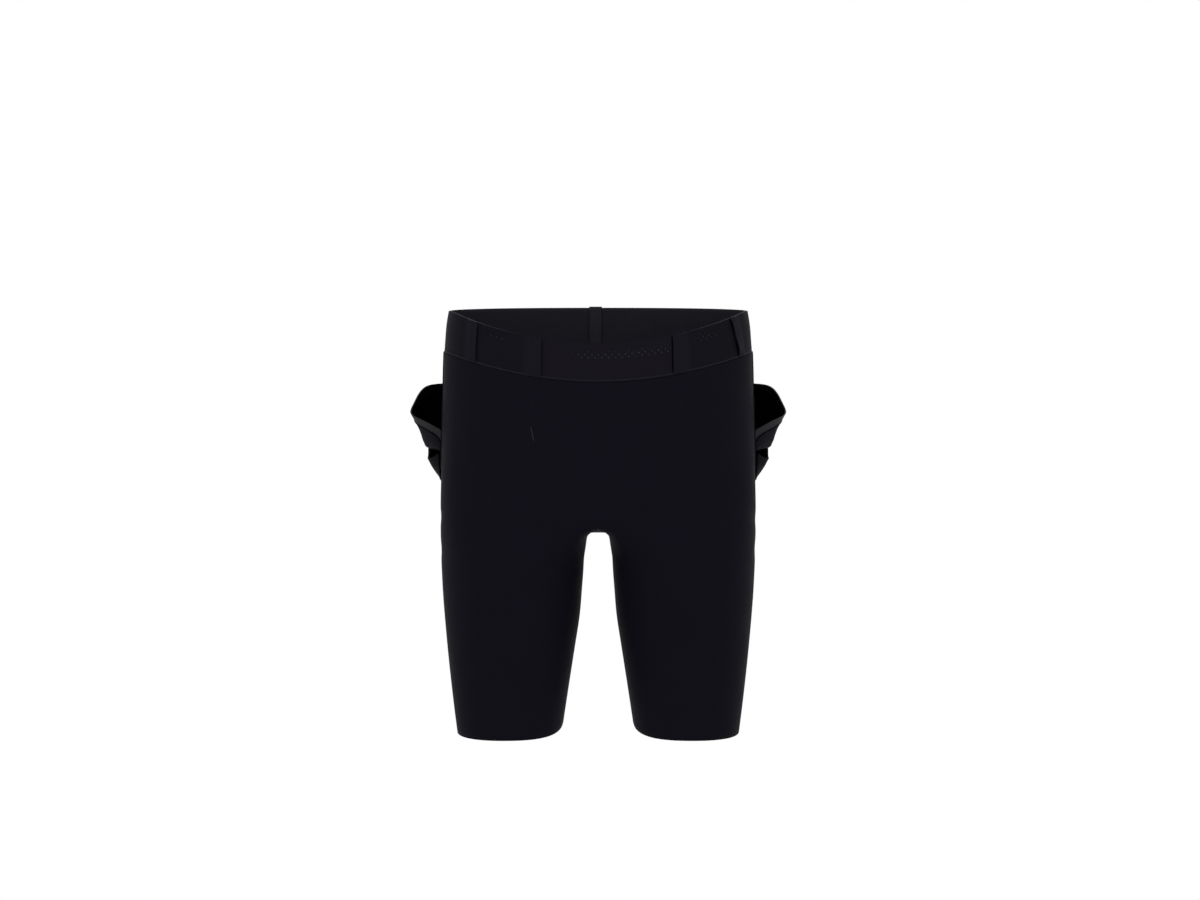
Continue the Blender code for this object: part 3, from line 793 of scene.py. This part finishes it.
def lay_weave(piece, flat=False):
    """Writes where each point lies on the cloth: how far round from the side line, and how far up."""
    mesh = piece.data
    points = vertex_places(mesh)
    x, y, z = np.abs(points[:, 0]), np.abs(points[:, 1]), points[:, 2]
    trunk = arc_length(TRUNK_OVAL, x, y)
    leg = arc_length(LEG_OVAL, x - LEG_MIDDLE, y)
    across, along = trunk + (leg - trunk) * eased((FORK_TOP - z) / (FORK_TOP - FORK_LOW)), z
    if flat:
        across, along = points[:, 0], points[:, 1]
    corners = np.empty(len(mesh.loops), np.int32)
    mesh.loops.foreach_get("vertex_index", corners)
    weave = np.stack((across[corners], along[corners]), axis=1)
    layer = mesh.uv_layers.get(WEAVE) or mesh.uv_layers.new(name=WEAVE)
    layer.data.foreach_set("uv", weave.astype(np.float32).ravel())


def dress(piece, material, nodes=()):
    """Shades and paints a piece, and ties it to the garment's body."""
    piece.data.shade_smooth()
    piece.data.set_sharp_from_angle(angle=CUT_EDGE)
    piece.data.materials.clear()
    piece.data.materials.append(finish_for(material))
    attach(piece, "root")
    if nodes:
        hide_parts(*nodes)


def dress_cloth(piece, node, material):
    """Dresses the cloth that stands for a CAD node, and hides the node."""
    lay_weave(piece, flat=node == "gusset")
    dress(piece, material, [node])


def thread_piece(name, mesh, material="thread"):
    """A piece of sewing: its thread, dressed."""
    dress(new_piece(name, mesh), material)


def on_front(tree, side, height):
    """The place on the front of the cloth at a distance from the middle and a height."""
    spot, normal, _, _ = tree.ray_cast(Vector((side, RAY_START, height)), Vector((0.0, 1.0, 0.0)))
    if spot is None:
        raise RuntimeError(f"no cloth lies in front at {side} m from the middle, height {height} m")
    return spot, normal


def tree_of(name):
    mesh = bmesh.new()
    mesh.from_mesh(bpy.data.objects[name].data)
    tree = BVHTree.FromBMesh(mesh)
    mesh.free()
    return tree


class TIGHTS_OT_body(bpy.types.Operator):
    """Makes the front, the two backs and the gusset as smooth cloth with soft creases"""

    bl_idname = "tights.body"
    bl_label = "Body Cloth"

    def execute(self, context):
        names = {
            "front_panel": "front_cloth",
            "back_panel_left": "back_cloth_left",
            "back_panel_right": "back_cloth_right",
            "gusset": "gusset_cloth",
        }
        for node, name in names.items():
            piece = smooth_cloth(node, name, sizes().smoothing)
            if node != "gusset":
                press_creases(piece)
            dress_cloth(piece, node, "jersey")
        return {"FINISHED"}


def band_sides(skin):
    """The top, seam, first and last sides of a waistband panel, the long ones in turn order."""
    sides = [side for side in split_at_corners(border_lines(skin)[0]) if len(side) > 2]
    if len(sides) != 4:
        raise RuntimeError(f"a waistband panel has {len(sides)} sides, and it needs 4")
    by_height = sorted(sides, key=mean_height)
    low, top = by_height[0], by_height[-1]
    top, low = (
        side if turn_of(side[0][0]) < turn_of(side[-1][0]) else side[::-1] for side in (top, low))
    first, last = sorted(by_height[1:-1], key=lambda side: turn_of(side[len(side) // 2][0]))
    return top, low, first, last


def mean_height(side):
    return sum(point.z for point, _ in side) / len(side)


def turn_of(point):
    """Turn round the waist from the centre front, in degrees."""
    return math.degrees(math.atan2(point.x, -point.y))


def at_share(side, share):
    """The point at a share of a side's length."""
    points = np.array([place[0] for place in side])
    lengths = lengths_along(points)
    return Vector([np.interp(share * lengths[-1], lengths, points[:, k]) for k in range(3)])


def side_length(side):
    return sum((side[k + 1][0] - side[k][0]).length for k in range(len(side) - 1))


def band_panel(node, skins, laps, covers):
    """One outer panel of the waistband, on a grid that its perforations and laps are worked into.

    laps says how far its first and last edge stand open, if they lie on another panel. covers names
    the panels that lie on it: it has a groove beside the first edge of each.
    """
    size = sizes()
    skin = skins[node]
    top, low, first, _ = band_sides(skin)
    length = (side_length(top) + side_length(low)) / 2.0
    rows = int(round(side_length(first) / size.hole_row))
    even = int(round(length / (size.hole_pitch / 2.0)))
    stops = {k / even: k for k in range(even + 1)}
    edges = [band_sides(skins[other])[2] for other in covers]
    for edge in edges:
        tail = tail_share(top, low, edge)
        stops.update({tail + stop * MM / length: None for stop in GROOVE_STOPS})
    shares = sorted(stops)
    tree = BVHTree.FromBMesh(skin)
    mesh = bmesh.new()
    bmesh.ops.create_grid(mesh, x_segments=len(shares) - 1, y_segments=rows, size=0.5)
    shade = mesh.verts.layers.float.new(SHADE)
    strip = mesh.verts.layers.float.new(STRIP)
    tops = [at_share(top, share) for share in shares]
    lows = [at_share(low, share) for share in shares]
    field = dict(zip(FIELD_NAMES, FIELDS.get(node, ())))
    eyes = []
    for vert in mesh.verts:
        column = int(round((vert.co.x + 0.5) * (len(shares) - 1)))
        row = int(round((0.5 - vert.co.y) * rows))
        share, down = shares[column], row / rows
        spot, out, _, _ = tree.find_nearest(tops[column].lerp(lows[column], down))
        lift = 0.0
        for lap, away in zip(laps, (share * length, (1.0 - share) * length)):
            if lap:
                lift += lap_lift(away, down, *lap)
                vert[strip] = max(vert[strip], strip_share(away))
        groove_dip_and_shade = max([groove_share(edge, spot, out) for edge in edges], default=0.0)
        # Painted shade: the groove beside a lap's edge is pressed in and also painted darker
        vert[shade] = groove_dip_and_shade
        vert.co = spot + out * (lift - groove_dip_and_shade * GROOVE_DEPTH)
        lattice = stops[share]
        if field and lattice is not None and (lattice + row) % 2 == 0:
            if field["first"] <= share <= field["last"] and field["top_row"] <= row <= field["low_row"]:
                eyes.append((vert, size.hole / 2.0 * eye_share(field, share, row)))
    mesh.normal_update()
    if faces_out(mesh.faces) < 0.0:
        bmesh.ops.reverse_faces(mesh, faces=mesh.faces)
    cut_eyes(mesh, eyes)
    return mesh


def eye_share(field, share, row):
    """How wide a perforation is, as a share of the widest: they fade out at one end and upwards."""
    along = min((share - field["first"]) / (field["last"] - field["first"]) * 3.0, 1.0)
    down = min((row - field["top_row"]) / 2.0, 1.0)
    sideways = field["first_size"] + (1.0 - field["first_size"]) * along
    return sideways * (field["top_size"] + (1.0 - field["top_size"]) * down)


def strip_share(away):
    """How much of a lap's bonded strip shows at a distance from the lap's edge."""
    return min(max((STRIP_REACH + STRIP_FADE - away) / STRIP_FADE, 0.0), 1.0)


def tail_share(top, low, edge):
    """The share along a panel at which another panel's edge crosses it."""
    middle = edge[len(edge) // 2][0]
    shares = np.linspace(0.0, 1.0, TAIL_STEPS)
    gaps = [(at_share(top, s).lerp(at_share(low, s), 0.5) - middle).length for s in shares]
    return float(shares[int(np.argmin(gaps))])


def lap_lift(away, down, lift, wave):
    """How far a lap stands open at a distance from its edge: most at the edge's middle."""
    if away > LAP_REACH:
        return 0.0
    open_share = math.sin(math.pi * min(max(down * 1.04 - 0.02, 0.0), 1.0)) ** 0.5
    waves = lift + wave * math.sin(down * LAP_WAVES + LAP_PHASE)
    return waves * open_share * (1.0 - away / LAP_REACH) ** 2


def groove_share(edge, spot, out):
    """How deep in the groove beside a lap's edge a point lies, from 0 to 1: it sets the groove's depth
    and also its painted shade.
    """
    nearest = GROOVE_HALF
    for k in range(len(edge) - 1):
        start, run = edge[k][0], edge[k + 1][0] - edge[k][0]
        offset = spot - start
        offset -= run * min(max(offset.dot(run) / run.length_squared, 0.0), 1.0)
        offset -= out * offset.dot(out)
        nearest = min(nearest, offset.length)
    return (1.0 - (nearest / GROOVE_HALF) ** 2) ** 2


def cut_eyes(mesh, eyes):
    """Cuts a small round hole of its own radius at each chosen vertex."""
    if not eyes:
        return
    tree = KDTree(len(eyes))
    for k, (vert, _) in enumerate(eyes):
        tree.insert(vert.co, k)
    tree.balance()
    radii = [radius for _, radius in eyes]
    grown = bmesh.ops.bevel(
        mesh, geom=[vert for vert, _ in eyes], offset=max(radii), offset_type="OFFSET", segments=1,
        profile=0.5, affect="VERTICES", material=-1)
    rims = [(face.calc_center_median(), list(face.edges)) for face in grown["faces"]]
    bmesh.ops.delete(mesh, geom=grown["faces"], context="FACES_ONLY")
    for centre, edges in rims:
        radius = radii[tree.find(centre)[1]]
        bmesh.ops.subdivide_edges(mesh, edges=edges, cuts=1)
        for vert in {vert for edge in edges if edge.is_valid for vert in edge.verts}:
            vert.co = centre + (vert.co - centre).normalized() * radius


class TIGHTS_OT_waistband(bpy.types.Operator):
    """Makes the waistband: its inner ring, and the five outer panels with their laps and perforations"""

    bl_idname = "tights.waistband"
    bl_label = "Waistband"

    def execute(self, context):
        self.inner_ring()
        skins = {}
        for node in sorted({name for lap in LAPS for name in lap[:2]}):
            draft = smooth_cloth(node, "draft_" + node, 2)
            skins[node] = skin_of(draft)
            bpy.data.objects.remove(draft)
        for node in skins:
            turn = panel_turn(skins[node])
            laps = [None, None]
            for top, tail, lift, wave in LAPS:
                if top == node:
                    laps[int(panel_turn(skins[tail]) >= turn)] = (lift, wave)
            covers = [top for top, tail, _, _ in LAPS if tail == node]
            mesh = band_panel(node, skins, laps, covers)
            piece = new_piece(node.replace("waistband", "band_cloth"), mesh)
            wall = piece.modifiers.new("Wall", "SOLIDIFY")
            wall.thickness = BAND_WALL
            wall.offset = -1.0
            settle(piece)
            finish = "waistband_mesh" if node == "waistband_centre" else "waistband"
            dress_cloth(piece, node, finish)
        for skin in skins.values():
            skin.free()
        return {"FINISHED"}

    def inner_ring(self):
        ring = smooth_cloth("waistband_base", "band_cloth_inner", 2)
        # Painted light: the ring's inner face is painted lighter to make up for the shade inside the
        # waist
        dress_cloth(ring, "waistband_base", "waist_inside")
        paint_layer(ring, "backing", OUTER)


def panel_turn(skin):
    """The turn of the middle of a waistband panel."""
    top = band_sides(skin)[0]
    return turn_of(top[len(top) // 2][0])


class TIGHTS_OT_pockets(bpy.types.Operator):
    """Makes the hip pockets: the yokes, the two tiers of bags and the elastic along their mouths"""

    bl_idname = "tights.pockets"
    bl_label = "Hip Pockets"

    def execute(self, context):
        for side in ("left", "right"):
            self.cloth("pocket_yoke", side, 2, "pocket", "front_cloth")
            for tier in ("upper", "lower"):
                bag = self.cloth(f"{tier}_pocket", side, 3, "pocket", "front_cloth")
                # Painted shade: the bag's inner layer is painted near black, as the shade inside the
                # pocket
                paint_layer(bag, "lining", INNER)
                finish = "binding" if tier == "upper" else "lower_binding"
                edge = self.cloth(f"{tier}_pocket_binding", side, 3, finish, bag.name)
                # Painted shade: the elastic's inner layer is painted near black, as the shade inside the
                # pocket
                paint_layer(edge, "binding_inside", INNER)
        return {"FINISHED"}

    def cloth(self, part, side, levels, finish, rests_on):
        node = f"{part}_{side}"
        cloth = smooth_cloth(node, f"{part}_cloth_{side}", levels)
        if part in BULGES:
            fill_out(cloth, *BULGES[part])
        dress_cloth(cloth, node, finish)
        return cloth


class TIGHTS_OT_pocket_stitching(bpy.types.Operator):
    """Sews the pockets on: rows of stitching round the yokes and bags, and a bar tack at each corner"""

    bl_idname = "tights.pocket_stitching"
    bl_label = "Pocket Stitching"

    INSETS = {"pocket_yoke": 1.6 * MM, "upper_pocket": 1.5 * MM, "lower_pocket": 1.5 * MM}
    ELASTIC_INSET = 1.3 * MM
    TRIM = 1.0 * MM
    TACK_STEP = 1.0 * MM
    TACK_TRIM = 0.6 * MM
    TACK_INSET = 1.6 * MM
    TACK_WIDTH = 2.2 * MM
    TACK_TURNS = 9

    def execute(self, context):
        for side in ("left", "right"):
            mesh = bmesh.new()
            for part, inset in self.INSETS.items():
                for line in self.sides(f"{part}_cloth_{side}")[:-1]:
                    run_stitches(mesh, paced(line, sizes().stitch, trim=self.TRIM), -inset)
            for tier in ("upper", "lower"):
                self.bind(mesh, f"{tier}_pocket_binding_cloth_{side}")
            thread_piece(f"pocket_stitching_{side}", mesh)
            self.close_edges(side)
        return {"FINISHED"}

    def close_edges(self, side):
        """Cores that join each bag to its elastic, and the upper bag's back edge to the yoke."""
        joins, edges = bmesh.new(), bmesh.new()
        yoke = tree_of(f"pocket_yoke_cloth_{side}")
        for tier in ("upper", "lower"):
            bag, elastic = f"{tier}_pocket_cloth_{side}", f"{tier}_pocket_binding_cloth_{side}"
            for first, second in ((bag, elastic), (elastic, bag)):
                for line in meeting_lines(first, second, BINDING_REACH):
                    lay_core(joins, line, JOIN_DEPTH, height=JOIN_HEIGHT)
        for part in ("upper_pocket", "upper_pocket_binding"):
            for line in self.sides(f"{part}_cloth_{side}"):
                gap = max(yoke.find_nearest(spot)[3] for spot, _ in line)
                if gap < EDGE_REACH and abs(line[0][0].z - line[-1][0].z) > EDGE_RISE:
                    middle = (POCKET_WALL + gap) / 2.0
                    lay_core(edges, line, middle, EDGE_INSET, gap - POCKET_WALL + EDGE_GRIP)
        # Painted shade: the joins inside the bags take the near-black painted shade of the bags' inside
        thread_piece(f"pocket_joins_{side}", joins, "lining")
        thread_piece(f"pocket_edges_{side}", edges, "pocket")

    def sides(self, name):
        """The sides of a piece's outward layer, from the lowest to the highest."""
        line = max(borders_of(name, settled=True), key=len)
        return sorted((side for side in split_at_corners(line) if len(side) > 2), key=mean_height)

    def bind(self, mesh, name):
        """A row of stitching along the elastic, and a bar tack at each of its ends."""
        by_length = sorted(self.sides(name), key=side_length)
        long_sides = sorted(by_length[-2:], key=mean_height)
        places = paced(long_sides[0], sizes().stitch, trim=self.TRIM)
        run_stitches(mesh, places, -self.ELASTIC_INSET)
        for side in by_length[:-2]:
            places = paced(side, self.TACK_STEP, trim=self.TACK_TRIM)
            (start, out, along), (end, _, _) = places[0], places[-1]
            inwards = out.cross(along) * self.TACK_INSET
            bar_tack(mesh, start + inwards, end + inwards, out, self.TACK_WIDTH, self.TACK_TURNS)


class TIGHTS_OT_tape(bpy.types.Operator):
    """Makes the woven tape inside the centre back, and the two rows of stitching inside the waist"""

    bl_idname = "tights.tape"
    bl_label = "Centre Back Tape"

    INNER_ROWS = (14.0 * MM, 20.0 * MM)

    def execute(self, context):
        tape = smooth_cloth("centre_back_tape", "back_tape", 2)
        dress_cloth(tape, "centre_back_tape", "tape")
        skin = skin_of(bpy.data.objects["band_cloth_inner"], INNER)
        tree = BVHTree.FromBMesh(skin)
        top = max(border_lines(skin), key=mean_height)
        skin.free()
        mesh = bmesh.new()
        for down in self.INNER_ROWS:
            row = [tree.find_nearest(point - Vector((0.0, 0.0, down)))[:2] for point, _ in top]
            places = paced(row, sizes().stitch, closed=True)
            run_stitches(mesh, places + places[:1])
        thread_piece("waist_stitching", mesh)
        return {"FINISHED"}


class TIGHTS_OT_seams(bpy.types.Operator):
    """Sews the welt under the waistband and the flat seams between the body's panels"""

    bl_idname = "tights.seams"
    bl_label = "Seams"

    def execute(self, context):
        self.waist_welt()
        pairs = {
            "side_seams_left": ("front_cloth", "back_cloth_left"),
            "side_seams_right": ("front_cloth", "back_cloth_right"),
            "centre_back_seam": ("back_cloth_left", "back_cloth_right"),
            "gusset_seam_front": ("gusset_cloth", "front_cloth"),
            "gusset_seam_left": ("gusset_cloth", "back_cloth_left"),
            "gusset_seam_right": ("gusset_cloth", "back_cloth_right"),
        }
        for name, (first, second) in pairs.items():
            reach = GUSSET_REACH if first == "gusset_cloth" else SEAM_REACH
            lines = meeting_lines(first, second, reach)
            if not lines:
                raise RuntimeError(f"{first} and {second} meet nowhere")
            mesh = bmesh.new()
            for line in lines:
                flat_seam(mesh, line)
            thread_piece(name, mesh)
        return {"FINISHED"}

    def waist_welt(self):
        line = min(borders_of("band_cloth_inner"), key=mean_height)
        places = []
        for spot, out, along in paced(line, WELT_STEP, closed=True):
            places.append((spot + out * WELT_PROUD, out, along))
        mesh = bmesh.new()
        sweep_welt(mesh, places, sizes().welt, sizes().welt * WELT_FLATNESS, closed=True)
        piece = new_piece("waist_welt", mesh)
        lay_weave(piece)
        dress(piece, "welt")


class TIGHTS_OT_details(bpy.types.Operator):
    """Adds the two fine lines and the light tack on the front"""

    bl_idname = "tights.details"
    bl_label = "Front Details"

    def execute(self, context):
        tree = tree_of("front_cloth")
        mesh = bmesh.new()
        for side, top, low in FRONT_LINES:
            line = [on_front(tree, side, height) for height in np.linspace(top, low, LINE_POINTS)]
            sweep_welt(mesh, paced(line, WELT_STEP), LINE_WIDTH, LINE_HEIGHT)
        piece = new_piece("front_lines", mesh)
        lay_weave(piece)
        dress(piece, "waistband")
        mesh = bmesh.new()
        (top, out), (low, _) = on_front(tree, *TACK_TOP), on_front(tree, *TACK_LOW)
        bar_tack(mesh, top, low, out, TACK_WIDTH, TACK_TURNS)
        thread_piece("front_tack", mesh, "tack")
        return {"FINISHED"}


class TIGHTS_OT_stage(bpy.types.Operator):
    """Sets the pale floor, the soft studio lights and the camera"""

    bl_idname = "tights.stage"
    bl_label = "Stage"

    FLOOR_HEIGHT = -0.98
    FLOOR_RADIUS = 2.1
    CAMERA_PLACE = (0.002, -3.0, -0.13035)
    CAMERA_LENS = 81.82
    LAMPS = (
        ("key_light", (-1.6, -2.2, 1.9), 1.6, 26.0),
        ("fill_light", (2.0, -1.8, 0.8), 1.8, 12.0),
        ("back_light", (0.3, 2.2, 1.6), 1.6, 14.0),
    )

    def execute(self, context):
        scene = context.scene
        scene.view_settings.view_transform = "Standard"
        scene.world = bpy.data.worlds.new("studio")
        scene.world.use_nodes = True
        background = scene.world.node_tree.nodes["Background"]
        background.inputs["Color"].default_value = (1.0, 1.0, 1.0, 1.0)
        for name, place, width, power in self.LAMPS:
            self.lamp(name, place, width, power)
        mesh = bmesh.new()
        bmesh.ops.create_circle(
            mesh, cap_ends=True, segments=96, radius=self.FLOOR_RADIUS,
            matrix=Matrix.Translation((0.0, 0.0, self.FLOOR_HEIGHT)))
        floor = new_piece("floor", mesh)
        floor.data.materials.append(plain_finish("studio_floor", colours().floor, 0.8, contrast=0.01))
        camera = bpy.data.objects.new("camera", bpy.data.cameras.new("camera"))
        scene.collection.objects.link(camera)
        camera.location = self.CAMERA_PLACE
        camera.rotation_euler = (math.radians(90.0), 0.0, 0.0)
        camera.data.lens = self.CAMERA_LENS
        camera.data.sensor_width = 36.0
        scene.camera = camera
        return {"FINISHED"}

    def lamp(self, name, place, width, power):
        """A large soft lamp that faces the garment."""
        light = bpy.data.lights.new(name, "AREA")
        light.shape = "DISK"
        light.size = width
        light.energy = power
        lamp = bpy.data.objects.new(name, light)
        bpy.context.scene.collection.objects.link(lamp)
        lamp.location = place
        lamp.rotation_euler = (HEART - Vector(place)).to_track_quat("-Z", "Y").to_euler()


class TIGHTS_PT_sidebar(bpy.types.Panel):
    """Lists the steps that finish the tights"""

    bl_label = "Half Tights"
    bl_idname = "TIGHTS_PT_sidebar"
    bl_space_type = "VIEW_3D"
    bl_region_type = "UI"
    bl_category = "Half Tights"

    def draw(self, context):
        layout = self.layout
        for step in STEPS:
            layout.operator(step.bl_idname)
        for group in (context.scene.tights_sizes, context.scene.tights_colours):
            box = layout.box()
            for name in group.__annotations__:
                box.prop(group, name)


STEPS = (
    TIGHTS_OT_body,
    TIGHTS_OT_waistband,
    TIGHTS_OT_pockets,
    TIGHTS_OT_pocket_stitching,
    TIGHTS_OT_tape,
    TIGHTS_OT_seams,
    TIGHTS_OT_details,
    TIGHTS_OT_stage,
)
CLASSES = (TightsSizes, TightsColours, *STEPS, TIGHTS_PT_sidebar)


def register():
    for kind in CLASSES:
        bpy.utils.register_class(kind)
    bpy.types.Scene.tights_sizes = PointerProperty(type=TightsSizes)
    bpy.types.Scene.tights_colours = PointerProperty(type=TightsColours)


def unregister():
    del bpy.types.Scene.tights_colours
    del bpy.types.Scene.tights_sizes
    for kind in reversed(CLASSES):
        bpy.utils.unregister_class(kind)


def main():
    register()
    for step in STEPS:
        group, name = step.bl_idname.split(".")
        getattr(getattr(bpy.ops, group), name)()


if __name__ == "__main__":
    main()
